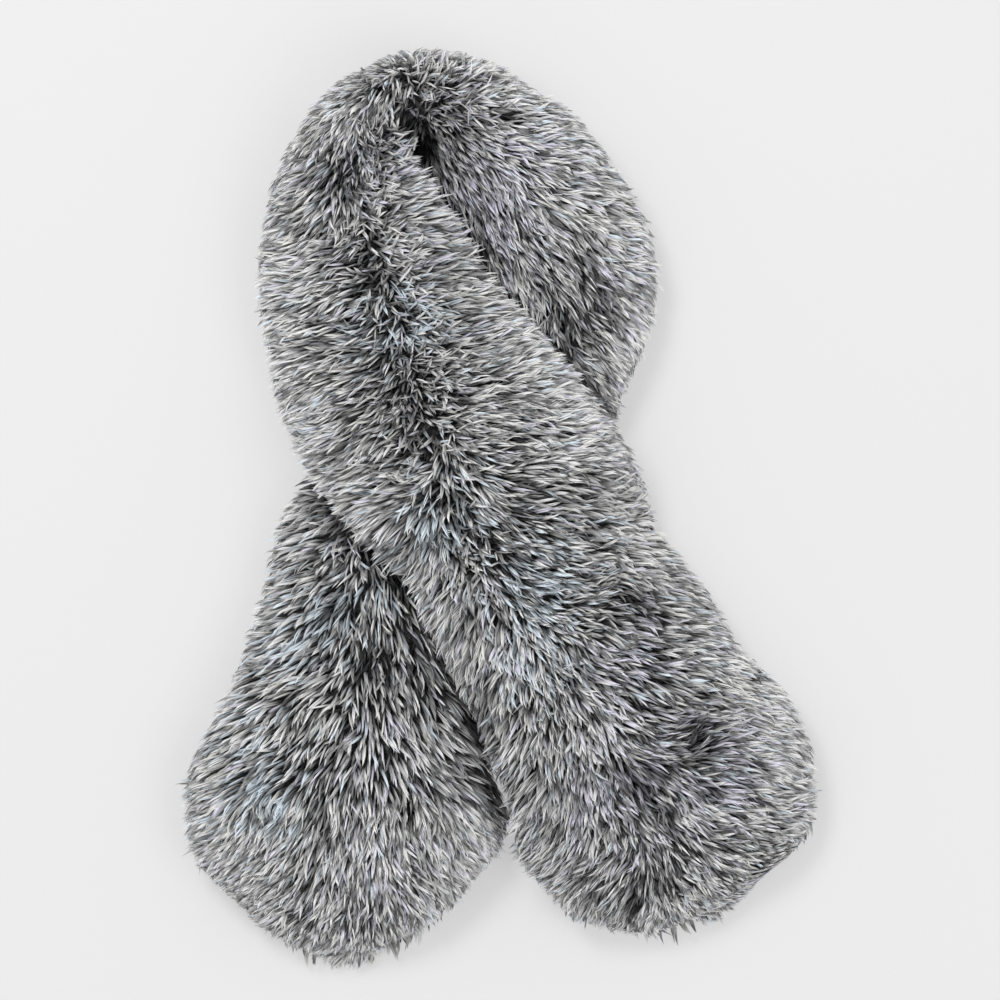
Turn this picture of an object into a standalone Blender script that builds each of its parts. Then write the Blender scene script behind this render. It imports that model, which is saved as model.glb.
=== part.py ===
"""Fur collar wrap: a double-faced strip of long-pile fur fabric, laid flat as a loop with crossed tails.

The strip is cut as a face panel and a back panel and sewn all round. Each panel is a knitted backing
with its pile. It lies face up: one tail runs over the crossing to the lower right, the neck part folds
up into a ridge at the top, and the strip comes down the right side, passes under and ends at the lower
left. Objects are in metres with +Z up, and the wrap rests on z = 0. The tables are in millimetres.
"""

import math

import bpy
import numpy as np

MM = 0.001

# Driving sizes, in millimetres.
BACKING = 2.0  # wall of one panel's knitted backing
CLEARANCE = 0.3  # between neighbouring pieces
STRETCH_CLEARANCE = 0.5  # between two stretches of the strip
PILE_SIDE = 20.0  # how far the pile reaches past the backing's edge
LEAST_BACKING = 0.65  # the backing's share of the width where the strip is gathered
SEAM_SHARE = 0.42  # height of the side seam, as a share of the strip's height
TOP_POWER = 2.5  # superellipse power of the domed top
FLAT_SHARE = 0.7  # share of the width over which the underside is flat
TUCK_FROM = -0.3  # where across the strip the tucked side starts to fall

# How tightly the upper layer bends over the lower one, by level, in millimetres of radius.
DRAPE_RADII = {"bottom": 12.0, "middle": 20.0, "top": 30.0}
DRAPE_SINK = 1.0  # how deep the lower layer presses into the pile that rests on it
CUTTER_DEPTH = 8.0  # how far the cutter reaches below the ground
LOOK_ALONG = 0.02  # of a row, to each side, over which the strip's direction is taken
SLOPE_SPAN = 0.05  # of a row, and of the half width, over which slopes are measured
MOST_STEEP = 2.4
ROUNDING = 1e-6  # of a row
ALIKE = 0.01  # diagonals of a quad that differ by less count as alike

MIDDLE_OF_FOOTPRINT = (-1.55, -0.6)  # in the sections' own x and y

# The strip's sections from the upper tail's tip, round the neck, to the lower tail's tip.
# x and y are the middle of the section, half its half width and crown its height, with the pile.
# arch is how far the backing rises in the middle, and tuck how much of the height the inner side loses.
COLUMNS = ("x", "y", "half", "crown", "arch", "tuck")
SECTIONS = (
    (112, -211, 21, 15, 0, 0.0),
    (108, -203, 49, 28, 0, 0.0),
    (101, -188, 68, 37, 0, 0.0),
    (91, -169, 78, 42, 0, 0.0),
    (78, -142, 81, 44, 0, 0.0),
    (61, -110, 72, 42, 0, 0.0),
    (44, -78, 69, 40, 0, 0.0),
    (21, -42, 65, 37, 0, 0.0),
    (4, -3, 68, 35, 0, 0.0),
    (-25, 30, 70, 35, 0, 0.0),
    (-49, 61, 70, 38, 0, 0.0),
    (-66, 97, 61, 41, 0, 0.0),
    (-75, 130, 54, 44, 1, 0.0),
    (-79, 158, 44, 47, 5, 0.0),
    (-77, 181, 34, 50, 12, 0.0),
    (-70, 196, 28, 54, 18, 0.0),
    (-61, 206, 23, 58, 22, 0.0),
    (-49, 214, 20, 59, 23, 0.0),
    (-35, 214, 21, 57, 21, 0.2),
    (-22, 204, 31, 53, 16, 0.5),
    (-11, 186, 43, 49, 9, 0.8),
    (4, 164, 50, 45, 4, 0.85),
    (18, 140, 52, 42, 0, 0.8),
    (30, 116, 51, 39, 0, 0.7),
    (33, 92, 44, 36, 0, 0.5),
    (26, 62, 37, 32, 0, 0.2),
    (12, 33, 42, 28, 0, 0.0),
    (-13, 4, 56, 28, 0, 0.0),
    (-47, -27, 70, 32, 0, 0.0),
    (-65, -74, 66, 38, 0, 0.0),
    (-75, -114, 71, 42, 0, 0.0),
    (-81, -151, 84, 44, 0, 0.0),
    (-81, -182, 79, 42, 0, 0.0),
    (-80, -207, 60, 37, 0, 0.0),
    (-79, -224, 39, 28, 0, 0.0),
    (-78, -234, 17, 14, 0, 0.0),
)
LAST = len(SECTIONS) - 1
STEPS_PER_ROW = 2

# The stretches that show, by the rows they run between, and the rows that the backing runs between.
STRETCHES = {"over": (0, 15), "neck": (15, 25), "under": (25, LAST)}
BACKING_ROWS = (2, LAST - 2)
LOWER_FROM = 19.6  # the row where the strip starts to lie under the upper tail
LOWER_STEP, LOWER_ACROSS = 0.25, 21  # rows between, and number across, of the points the tail drapes over
CUTTER_FROM = 19
DRAPED = "over_back"  # the panel that lies on the lower layer

# The largest folds of the face, as soft ridges (rise above 0) and troughs. angle is in degrees from +X.
FOLD_COLUMNS = ("stretch", "x", "y", "angle", "length", "width", "rise")
FOLDS = (
    ("over", -80, 172, 60, 18, 11, -4.5),
    ("over", -66, 122, 20, 20, 11, -5.0),
    ("over", -55, 59, 95, 26, 12, -4.0),
    ("over", 67, -51, 62, 27, 12, -5.0),
    ("over", 91, -122, 20, 22, 15, -4.0),
    ("over", 62, -182, 110, 22, 12, -4.0),
    ("neck", 27, 99, -50, 28, 12, -6.0),
    ("neck", 44, 76, -62, 18, 9, -4.0),
    ("under", -86, -40, -54, 26, 9, -6.0),
    ("under", -70, -44, -54, 32, 9, 5.0),
    ("under", -66, -86, 10, 28, 14, -5.0),
    ("under", -112, -150, 30, 22, 12, -3.0),
)

# Positions across the strip, from -1 to 1.
TOP_STEPS = 10
TOP_ACROSS = tuple(
    -math.copysign(abs(math.cos(math.pi * i / TOP_STEPS)) ** (2 / TOP_POWER), math.cos(math.pi * i / TOP_STEPS))
    for i in range(TOP_STEPS + 1)
)
BOTTOM_ACROSS = (-1.0, -0.96, -0.84, -0.4, 0.0, 0.4, 0.84, 0.96, 1.0)
BACKING_ACROSS = (-1.0, -0.667, -0.333, 0.0, 0.333, 0.667, 1.0)
RIM_POINTS = 2  # of the pile's inner side, on each side of its recess
RECESS_EDGE, RECESS_RAMP = 0.012, 0.05  # past the backing's edge, the recess is whole, then ramps out

# Colours and finish of the two materials.
COLOURS = {"pile": (0.26, 0.26, 0.27, 1.0), "backing": (0.10, 0.10, 0.11, 1.0)}
ROUGHNESS = {"pile": 0.85, "backing": 0.95}


def smoothstep(x):
    """0 below 0, 1 above 1, and smooth between."""
    x = np.clip(x, 0.0, 1.0)
    return x * x * (3.0 - 2.0 * x)


def strip(t):
    """The section at row t, read from a Catmull-Rom curve through the rows, as a dict of numbers."""
    rows = np.array(SECTIONS, float)
    i = int(min(max(math.floor(t), 0), LAST - 1))
    f = t - i
    before = rows[i - 1] if i > 0 else 2 * rows[0] - rows[1]
    after = rows[i + 2] if i + 2 <= LAST else 2 * rows[LAST] - rows[LAST - 1]
    start, end = rows[i], rows[i + 1]
    value = 0.5 * (
        2 * start
        + (end - before) * f
        + (2 * before - 5 * start + 4 * end - after) * f**2
        + (3 * start - before - 3 * end + after) * f**3
    )
    return dict(zip(COLUMNS, value))


def middle(t):
    """The middle of the strip at row t, and the unit vectors along it and to its right."""
    low, high = max(t - LOOK_ALONG, 0.0), min(t + LOOK_ALONG, float(LAST))
    a, b, here = strip(low), strip(high), strip(t)
    along = np.array([b["x"] - a["x"], b["y"] - a["y"]])
    speed = np.linalg.norm(along) / (high - low)
    along /= np.linalg.norm(along)
    centre = np.array([here["x"], here["y"]]) - MIDDLE_OF_FOOTPRINT
    return centre, along, np.array([along[1], -along[0]]), speed


def fold_rise(stretch, x, y):
    """How much the folds of a stretch raise or lower its face at (x, y)."""
    total = 0.0
    for row in FOLDS:
        fold = dict(zip(FOLD_COLUMNS, row))
        if fold["stretch"] != stretch:
            continue
        angle = math.radians(fold["angle"])
        dx, dy = x - fold["x"], y - fold["y"]
        lengthwise = (dx * math.cos(angle) + dy * math.sin(angle)) / fold["length"]
        widthwise = (dy * math.cos(angle) - dx * math.sin(angle)) / fold["width"]
        total += fold["rise"] * math.exp(-(lengthwise**2) - widthwise**2)
    return total


def levels(stretch, t, u, lifts=(0.0, 0.0, 0.0)):
    """The heights of the underside, the seam surface and the top at row t, u across the strip.

    lifts are how far the layer below raises the underside, the seam surface and the top.
    """
    row = strip(t)
    centre, _, right, _ = middle(t)
    x, y = centre + right * row["half"] * u
    kept = 1.0 - row["tuck"] * smoothstep((u - TUCK_FROM) / (1.0 - TUCK_FROM))
    seam = SEAM_SHARE * (row["crown"] - row["arch"]) * kept
    dome = max(0.0, 1.0 - abs(u) ** TOP_POWER) ** (1 / TOP_POWER)
    past_flat = max(0.0, (abs(u) - FLAT_SHARE) / (1.0 - FLAT_SHARE))
    floor = math.sqrt(max(0.0, 1.0 - past_flat**2))
    arch = row["arch"] * (1.0 - u * u)
    low, mid, high = lifts
    rise = fold_rise(stretch, x, y)
    top = mid + seam + dome * (row["crown"] * kept - seam + high - mid + rise)
    return mid + seam - floor * (seam + mid - low), mid + seam + arch, top


def lower_layer():
    """Points on the top of the part of the strip that lies under the upper tail."""
    points = []
    for t in np.arange(LOWER_FROM, LAST + ROUNDING, LOWER_STEP):
        stretch = "neck" if t < STRETCHES["under"][0] else "under"
        row = strip(t)
        centre, _, right, _ = middle(t)
        for u in np.linspace(-1.0, 1.0, LOWER_ACROSS):
            x, y = centre + right * row["half"] * u
            points.append((x, y, levels(stretch, t, u)[2]))
    return np.array(points)


LOWER_POINTS = lower_layer()


def drape(x, y):
    """How far the lower layer lifts a cloth at (x, y), for the underside, the seam surface and the top."""
    away = (LOWER_POINTS[:, 0] - x) ** 2 + (LOWER_POINTS[:, 1] - y) ** 2
    return tuple(
        max(0.0, float((LOWER_POINTS[:, 2] - DRAPE_SINK - away / (2 * radius)).max()))
        for radius in DRAPE_RADII.values()
    )


def place(stretch, t, u, grow=0.0):
    """(x, y) at row t, u across the strip, and its three levels, in millimetres."""
    row = strip(t)
    centre, _, right, _ = middle(t)
    x, y = centre + right * (row["half"] + grow) * u
    lifts = drape(x, y) if stretch == "over" else (0.0, 0.0, 0.0)
    return x, y, levels(stretch, t, u, lifts)


def steepness(stretch, t, u):
    """How much longer a wall of the seam surface measures upright than square through it, at (t, u)."""
    sides = [place(stretch, t, u + du) for du in (-SLOPE_SPAN, SLOPE_SPAN)]
    ends = [place(stretch, min(max(t + dt, 0.0), LAST), u) for dt in (-SLOPE_SPAN, SLOPE_SPAN)]
    slopes = [
        (b[2][1] - a[2][1]) / math.hypot(b[0] - a[0], b[1] - a[1]) for a, b in (sides, ends)
    ]
    return min(math.hypot(1.0, *slopes), MOST_STEEP)


def backing_half(t):
    """The backing's half width at row t, as a share of the strip's."""
    return max(1.0 - PILE_SIDE / strip(t)["half"], LEAST_BACKING)


def inner_across(t):
    """Positions across the strip of the pile's inner side, with the edges of its recess for the backing."""
    edge = backing_half(t)
    rims = (edge + RECESS_EDGE, edge + RECESS_EDGE + RECESS_RAMP, 1.0)
    return [-rims[2], -rims[1], -rims[0], *(edge * share for share in BACKING_ACROSS), *rims]


def has_backing(t):
    return BACKING_ROWS[0] - ROUNDING <= t <= BACKING_ROWS[1] + ROUNDING


def pile_ring(stretch, t, side):
    """One section of a panel's pile: its outer side, then its inner side back. side is 1 for the face."""
    level = 2 if side > 0 else 0
    outer = []
    for u in (TOP_ACROSS if side > 0 else BOTTOM_ACROSS)[1:-1]:
        x, y, heights = place(stretch, t, u)
        outer.append((x, y, heights[level]))
    recess = (BACKING + CLEARANCE) if has_backing(t) else 0.0
    inner = []
    positions = inner_across(t)
    for i, u in enumerate(positions):
        x, y, heights = place(stretch, t, u)
        in_recess = RIM_POINTS <= i < len(positions) - RIM_POINTS
        off = (CLEARANCE / 2 + recess * in_recess) * steepness(stretch, t, u)
        inner.append((x, y, heights[1] + side * off))
    return outer + inner[::-1]


def backing_ring(stretch, t, side):
    """One section of a panel's backing: a thin wall on the seam surface."""
    near, far = [], []
    for share in BACKING_ACROSS:
        u = share * backing_half(t)
        x, y, heights = place(stretch, t, u)
        upright = side * steepness(stretch, t, u)
        near.append((x, y, heights[1] + upright * CLEARANCE / 2))
        far.append((x, y, heights[1] + upright * (CLEARANCE / 2 + BACKING)))
    return far + near[::-1]


def cutter_ring(stretch, t):
    """One section of the lower layer, grown by the clearance, to press into the tail above it."""
    top = []
    for u in TOP_ACROSS:
        x, y, heights = place(stretch, t, u, grow=CLEARANCE)
        top.append((x, y, heights[2] + CLEARANCE))
    ends = [(top[-1][0], top[-1][1], -CUTTER_DEPTH), (top[0][0], top[0][1], -CUTTER_DEPTH)]
    return top + ends


def stations(first, last):
    """The rows at which a stretch is sectioned, drawn in by half the clearance at a cut between stretches."""
    count = round((last - first) * STEPS_PER_ROW)
    rows = [first + (last - first) * i / count for i in range(count + 1)]
    if first > 0:
        rows[0] += STRETCH_CLEARANCE / 2 / middle(first)[3]
    if last < LAST:
        rows[-1] -= STRETCH_CLEARANCE / 2 / middle(last)[3]
    return rows


def loft(name, rings, back_from):
    """A closed mesh object through rings of the same number of points, with flat ends.

    Each ring runs one way across the strip and, from the point back_from on, the other way. Its
    quads are halved on the diagonal that is shorter as seen from above, and on one and the same
    diagonal where both are alike, so that facing sides keep their gap.
    """
    size = len(rings[0])
    points = [(x * MM, y * MM, z * MM) for ring in rings for x, y, z in ring]
    faces = [tuple(range(size))]

    def span(i, j):
        return math.hypot(points[i][0] - points[j][0], points[i][1] - points[j][1])

    for r in range(len(rings) - 1):
        for i in range(size):
            j = (i + 1) % size
            a, b, c, d = r * size + i, r * size + j, (r + 1) * size + j, (r + 1) * size + i
            lean = span(a, c) - span(b, d)
            split_ac = lean < ALIKE * MM if i < back_from else lean < -ALIKE * MM
            faces += [(a, d, c), (a, c, b)] if split_ac else [(a, d, b), (b, d, c)]
    last = (len(rings) - 1) * size
    faces.append(tuple(range(last + size - 1, last - 1, -1)))
    mesh = bpy.data.meshes.new(name)
    mesh.from_pydata(points, [], faces)
    mesh.validate()
    obj = bpy.data.objects.new(name, mesh)
    bpy.context.scene.collection.objects.link(obj)
    return obj


def turn_outwards(obj):
    """Flips the mesh if its faces point in."""
    mesh = obj.data
    volume = 0.0
    mesh.calc_loop_triangles()
    for triangle in mesh.loop_triangles:
        a, b, c = (mesh.vertices[i].co for i in triangle.vertices)
        volume += a.dot(b.cross(c)) / 6
    if volume < 0:
        mesh.flip_normals()


def material(piece, kind):
    """A material of its own for a piece of pile or backing."""
    made = bpy.data.materials.new(piece)
    made.use_nodes = True
    shader = made.node_tree.nodes["Principled BSDF"]
    shader.inputs["Base Color"].default_value = COLOURS[kind]
    shader.inputs["Roughness"].default_value = ROUGHNESS[kind]
    shader.inputs["Metallic"].default_value = 0.0
    made.diffuse_color = COLOURS[kind]
    return made


def build_piece(panel, kind, ring, back_from, stretch, side, rows):
    """One panel's pile or backing, lofted through its rings at the given rows."""
    name = f"{panel}_{kind}"
    piece = loft(name, [ring(stretch, t, side) for t in rows], back_from)
    turn_outwards(piece)
    piece.data.materials.append(material(name, kind))
    return piece


def press_into(piece, cutter):
    """The pile of the upper tail gives way where it lies on the lower layer."""
    cut = piece.modifiers.new("pressed", "BOOLEAN")
    cut.operation = "DIFFERENCE"
    cut.solver = "EXACT"
    cut.object = cutter


def lower_cutter():
    """The lower layer as one solid, which only cuts."""
    rows = np.arange(CUTTER_FROM, LAST + ROUNDING, 1 / STEPS_PER_ROW)
    rings = [cutter_ring("neck" if t < STRETCHES["under"][0] else "under", t) for t in rows]
    cutter = loft("lower_layer_cutter", rings, len(TOP_ACROSS))
    turn_outwards(cutter)
    cutter.hide_render = True
    cutter.display_type = "WIRE"
    return cutter


def main():
    for old in list(bpy.data.objects):
        bpy.data.objects.remove(old)
    cutter = lower_cutter()
    for stretch, (first, last) in STRETCHES.items():
        rows = stations(first, last)
        backed = [t for t in rows if has_backing(t)]
        for panel, side in (("face", 1), ("back", -1)):
            name = f"{stretch}_{panel}"
            outer = len(TOP_ACROSS if side > 0 else BOTTOM_ACROSS) - 2
            fur = build_piece(name, "pile", pile_ring, outer, stretch, side, rows)
            build_piece(name, "backing", backing_ring, len(BACKING_ACROSS), stretch, side, backed)
            if name == DRAPED:
                press_into(fur, cutter)


main()
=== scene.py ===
"""The looks of the fur collar wrap: a double-faced strip of long grey fur, laid flat, its tails crossed.

The strip's form is worked out as in the CAD, from the same table of sections. Each stretch of it has
a thin skin of short dense underfur, near black on the face partly as painted shade between the hairs,
and long guard hairs, which are tapered ribbons that stand on the skin in narrow locks and lean with
the nap. Lengths are in millimetres up to the meshes.
"""

import math

import bpy
import numpy as np
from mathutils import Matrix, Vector


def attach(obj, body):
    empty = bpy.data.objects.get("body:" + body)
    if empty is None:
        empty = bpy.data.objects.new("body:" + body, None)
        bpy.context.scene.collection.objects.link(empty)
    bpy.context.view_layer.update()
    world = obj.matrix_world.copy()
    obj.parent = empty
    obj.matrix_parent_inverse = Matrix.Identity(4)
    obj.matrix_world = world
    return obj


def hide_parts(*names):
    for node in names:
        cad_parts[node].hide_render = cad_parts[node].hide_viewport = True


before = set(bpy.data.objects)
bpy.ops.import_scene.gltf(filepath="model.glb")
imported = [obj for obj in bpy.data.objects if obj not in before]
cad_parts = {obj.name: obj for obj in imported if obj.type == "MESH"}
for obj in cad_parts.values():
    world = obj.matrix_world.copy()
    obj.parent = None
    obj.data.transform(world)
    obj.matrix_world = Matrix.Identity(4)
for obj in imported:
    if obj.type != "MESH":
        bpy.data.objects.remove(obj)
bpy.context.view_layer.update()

MM = 0.001
TINY = 1e-6
rng = np.random.default_rng(20)

# ---- The strip's form, as in the CAD ----

SEAM_SHARE = 0.42  # height of the side seam, as a share of the strip's height
TOP_POWER = 2.5  # superellipse power of the domed top
FLAT_SHARE = 0.7  # share of the width over which the underside is flat
TUCK_FROM = -0.3  # where across the strip the tucked side starts to fall
DRAPE_RADII = (12.0, 20.0, 30.0)  # how tightly the underside, the seam surface and the top bend
DRAPE_SINK = 1.0  # how deep the lower layer presses into the upper tail
MIDDLE_OF_FOOTPRINT = (-1.55, -0.6)  # in the sections' own x and y
LOOK_ALONG = 0.02  # of a row, to each side, over which the strip's direction is taken

# The strip's sections from the upper tail's tip, round the neck, to the lower tail's tip.
# x and y are the middle of the section, half its half width and crown its height, with the pile.
# arch is how far the backing rises in the middle, and tuck how much of the height the inner side loses.
COLUMNS = ("x", "y", "half", "crown", "arch", "tuck")
SECTIONS = (
    (112, -211, 21, 15, 0, 0.0),
    (108, -203, 49, 28, 0, 0.0),
    (101, -188, 68, 37, 0, 0.0),
    (91, -169, 78, 42, 0, 0.0),
    (78, -142, 81, 44, 0, 0.0),
    (61, -110, 72, 42, 0, 0.0),
    (44, -78, 69, 40, 0, 0.0),
    (21, -42, 65, 37, 0, 0.0),
    (4, -3, 68, 35, 0, 0.0),
    (-25, 30, 70, 35, 0, 0.0),
    (-49, 61, 70, 38, 0, 0.0),
    (-66, 97, 61, 41, 0, 0.0),
    (-75, 130, 54, 44, 1, 0.0),
    (-79, 158, 44, 47, 5, 0.0),
    (-77, 181, 34, 50, 12, 0.0),
    (-70, 196, 28, 54, 18, 0.0),
    (-61, 206, 23, 58, 22, 0.0),
    (-49, 214, 20, 59, 23, 0.0),
    (-35, 214, 21, 57, 21, 0.2),
    (-22, 204, 31, 53, 16, 0.5),
    (-11, 186, 43, 49, 9, 0.8),
    (4, 164, 50, 45, 4, 0.85),
    (18, 140, 52, 42, 0, 0.8),
    (30, 116, 51, 39, 0, 0.7),
    (33, 92, 44, 36, 0, 0.5),
    (26, 62, 37, 32, 0, 0.2),
    (12, 33, 42, 28, 0, 0.0),
    (-13, 4, 56, 28, 0, 0.0),
    (-47, -27, 70, 32, 0, 0.0),
    (-65, -74, 66, 38, 0, 0.0),
    (-75, -114, 71, 42, 0, 0.0),
    (-81, -151, 84, 44, 0, 0.0),
    (-81, -182, 79, 42, 0, 0.0),
    (-80, -207, 60, 37, 0, 0.0),
    (-79, -224, 39, 28, 0, 0.0),
    (-78, -234, 17, 14, 0, 0.0),
)
LAST = len(SECTIONS) - 1
STRETCHES = {"over": (0, 15), "neck": (15, 25), "under": (25, LAST)}
LOWER_FROM = 19.6  # the row where the strip starts to lie under the upper tail
LOWER_STEP, LOWER_ACROSS = 0.25, 21  # rows between, and number across, of the points it drapes over
BATCH = 4000  # points that are draped at a time

# The largest folds of the face, as soft ridges (rise above 0) and troughs. angle is in degrees from +X.
FOLD_COLUMNS = ("stretch", "x", "y", "angle", "length", "width", "rise")
FOLDS = (
    ("over", -80, 172, 60, 18, 11, -4.5),
    ("over", -66, 122, 20, 20, 11, -5.0),
    ("over", -55, 59, 95, 26, 12, -4.0),
    ("over", 67, -51, 62, 27, 12, -5.0),
    ("over", 91, -122, 20, 22, 15, -4.0),
    ("over", 62, -182, 110, 22, 12, -4.0),
    ("neck", 27, 99, -50, 28, 12, -6.0),
    ("neck", 44, 76, -62, 18, 9, -4.0),
    ("under", -86, -40, -54, 26, 9, -6.0),
    ("under", -70, -44, -54, 32, 9, 5.0),
    ("under", -66, -86, 10, 28, 14, -5.0),
    ("under", -112, -150, 30, 22, 12, -3.0),
)

# A surface drawn in from the outside keeps at least these shares of the form, and at the neck's turn
# its inner side is drawn in less.
LEAST_HALF, LEAST_DOME, LEAST_DEPTH = 0.45, 0.35, 0.3
PINCH_SHARE = 0.9
FULL_ARCH = 23.0


def smoothstep(x):
    """0 below 0, 1 above 1, and smooth between."""
    x = np.clip(x, 0.0, 1.0)
    return x * x * (3.0 - 2.0 * x)


def unit(v):
    """The vectors at unit length."""
    return v / np.maximum(np.linalg.norm(v, axis=1), TINY)[:, None]


def turned(v, axis, angle):
    """Unit vectors, turned about their axes by their angles."""
    return unit(v * np.cos(angle)[:, None] + np.cross(axis, v) * np.sin(angle)[:, None])


def named(columns, table):
    """The rows of a table as dicts."""
    return [dict(zip(columns, row)) for row in table]


def nearness(row, x, y):
    """1 at a row's place, fading to 0 beyond its reach."""
    return np.exp(-((x - row["x"]) ** 2 + (y - row["y"]) ** 2) / row["reach"] ** 2)


def strip(t):
    """The sections at rows t, from a Catmull-Rom curve through the table, as a dict of arrays."""
    rows = np.array(SECTIONS, float)
    padded = np.vstack([2 * rows[0] - rows[1], rows, 2 * rows[-1] - rows[-2]])
    i = np.clip(np.floor(t).astype(int), 0, LAST - 1)
    f = (t - i)[:, None]
    before, start, end, after = (padded[i + k] for k in range(4))
    value = 0.5 * (
        2 * start
        + (end - before) * f
        + (2 * before - 5 * start + 4 * end - after) * f**2
        + (3 * start - before - 3 * end + after) * f**3
    )
    return {name: value[:, k] for k, name in enumerate(COLUMNS)}


def middle(t):
    """The strip's middle at rows t, and the unit vectors along it and to its right."""
    low, high = strip(np.maximum(t - LOOK_ALONG, 0.0)), strip(np.minimum(t + LOOK_ALONG, LAST))
    along = np.stack([high["x"] - low["x"], high["y"] - low["y"]], 1)
    along /= np.linalg.norm(along, axis=1)[:, None]
    here = strip(t)
    centre = np.stack([here["x"], here["y"]], 1) - MIDDLE_OF_FOOTPRINT
    return centre, along, np.stack([along[:, 1], -along[:, 0]], 1)


def fold_rise(stretch, x, y):
    """How far the stretch's folds raise its top at each point."""
    total = np.zeros_like(x)
    for fold in named(FOLD_COLUMNS, FOLDS):
        if fold["stretch"] != stretch:
            continue
        angle = math.radians(fold["angle"])
        dx, dy = x - fold["x"], y - fold["y"]
        lengthwise = (dx * math.cos(angle) + dy * math.sin(angle)) / fold["length"]
        widthwise = (dy * math.cos(angle) - dx * math.sin(angle)) / fold["width"]
        total += fold["rise"] * np.exp(-(lengthwise**2) - widthwise**2)
    return total


def section(stretch, t, u, over_top, lifts=None, inset=(0.0, 0.0, 0.0)):
    """Points of the strip's outside at rows t, u across it. over_top says which are on the face.

    inset is how far the surface is drawn in at the sides, the top and the underside.
    """
    row = strip(t)
    centre, _, right = middle(t)
    pinched = np.maximum(row["tuck"], row["arch"] / FULL_ARCH) * smoothstep(u)
    half = np.maximum(row["half"] - inset[0] * (1.0 - PINCH_SHARE * pinched), LEAST_HALF * row["half"])
    xy = centre + right * (half * u)[:, None]
    if lifts is None:
        lifts = drape(xy) if stretch == "over" else np.zeros((3, len(t)))
    kept = 1.0 - row["tuck"] * smoothstep((u - TUCK_FROM) / (1.0 - TUCK_FROM))
    seam = SEAM_SHARE * (row["crown"] - row["arch"]) * kept
    dome = np.maximum(0.0, 1.0 - np.abs(u) ** TOP_POWER) ** (1 / TOP_POWER)
    past_flat = np.maximum(0.0, (np.abs(u) - FLAT_SHARE) / (1.0 - FLAT_SHARE))
    floor = np.sqrt(np.maximum(0.0, 1.0 - past_flat**2))
    low, mid, high = lifts
    rise = fold_rise(stretch, xy[:, 0], xy[:, 1])
    height = row["crown"] * kept - seam + high - mid + rise
    top = mid + seam + dome * np.maximum(height - inset[1], LEAST_DOME * height)
    depth = seam + mid - low
    bottom = mid + seam - floor * np.maximum(depth - inset[2], LEAST_DEPTH * depth)
    return np.column_stack([xy, np.where(over_top, top, bottom)])


def lower_layer():
    """Points on the top of the part of the strip that lies under the upper tail."""
    rows, across = np.arange(LOWER_FROM, LAST, LOWER_STEP), np.linspace(-1, 1, LOWER_ACROSS)
    t, u = (a.ravel() for a in np.meshgrid(rows, across))
    points = np.empty((len(t), 3))
    in_neck = t < STRETCHES["under"][0]
    for stretch, chosen in (("neck", in_neck), ("under", ~in_neck)):
        none = np.zeros((3, chosen.sum()))
        points[chosen] = section(stretch, t[chosen], u[chosen], True, none)
    return points


LOWER_POINTS = lower_layer()


def drape(xy):
    """How far the lower layer lifts the underside, the seam surface and the top at each of xy."""
    lifts = np.zeros((3, len(xy)))
    for first in range(0, len(xy), BATCH):
        part = slice(first, first + BATCH)
        away = ((xy[part, None, :] - LOWER_POINTS[None, :, :2]) ** 2).sum(2)
        for k, radius in enumerate(DRAPE_RADII):
            lift = (LOWER_POINTS[:, 2] - DRAPE_SINK - away / (2 * radius)).max(1)
            lifts[k, part] = np.maximum(0.0, lift)
    return lifts


# ---- Grids of the outside and of the skin under the hairs ----

ROWS_A_STEP = 5
AROUND = 72  # points round a section, half of them on the face
UNDERSIDE_POWER = 0.6  # sets the underside's points closer together at its sides
END_ROWS, END_REACH = 4, 5.0  # the closing of a tail's tip
LEAST_END_REACH, LEAST_RING = 1.0, 0.04
OUTER_INSET = (0.0, 0.0, 0.3)  # at the sides, the top and the underside
SKIN_INSET = (11.0, 8.5, 3.2)


def round_section():
    """u across the strip, and whether the point is on the face, round the section from u = -1."""
    angle = np.arange(AROUND) * 2 * math.pi / AROUND
    power = np.where(angle < math.pi, 2 / TOP_POWER, UNDERSIDE_POWER)
    u = -np.sign(np.cos(angle)) * np.abs(np.cos(angle)) ** power
    return u, angle < math.pi


def tip(ring, out, reach):
    """Rings that close a tail's tip in a quarter round, from its last ring outwards."""
    heart = ring.mean(0)
    rings = []
    for k in range(1, END_ROWS + 1):
        angle = k * math.pi / 2 / END_ROWS
        shrunk = (ring - heart) * max(math.cos(angle), LEAST_RING)
        rings.append(heart + shrunk + out * reach * math.sin(angle))
    return np.array(rings)


def grid(stretch, inset):
    """(rows, AROUND, 3) points of a stretch's surface, with rounded tips, and each row's t."""
    first, last = STRETCHES[stretch]
    t = np.linspace(first, last, (last - first) * ROWS_A_STEP + 1)
    u, over_top = round_section()
    tt, uu, over = np.repeat(t, AROUND), np.tile(u, len(t)), np.tile(over_top, len(t))
    points = section(stretch, tt, uu, over, inset=inset).reshape(len(t), AROUND, 3)
    reach = max(END_REACH - inset[1] / 2, LEAST_END_REACH)
    _, along, _ = middle(np.array([first, last], float))
    along = np.column_stack([along, np.zeros(2)])
    if first == 0:
        points = np.concatenate([tip(points[0], -along[0], reach)[::-1], points])
        t = np.concatenate([np.full(END_ROWS, float(first)), t])
    if last == LAST:
        points = np.concatenate([points, tip(points[-1], along[1], reach)])
        t = np.concatenate([t, np.full(END_ROWS, float(last))])
    return points, t


def grid_normals(points):
    """Outward unit normals of a grid of rings."""
    round_it = np.roll(points, -1, 1) - np.roll(points, 1, 1)
    lengthwise = np.gradient(points, axis=0)
    normals = np.cross(round_it, lengthwise)
    normals /= np.maximum(np.linalg.norm(normals, axis=2), TINY)[..., None]
    outward = ((points - points.mean(1)[:, None]) * normals).sum()
    return normals if outward > 0 else -normals


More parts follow.
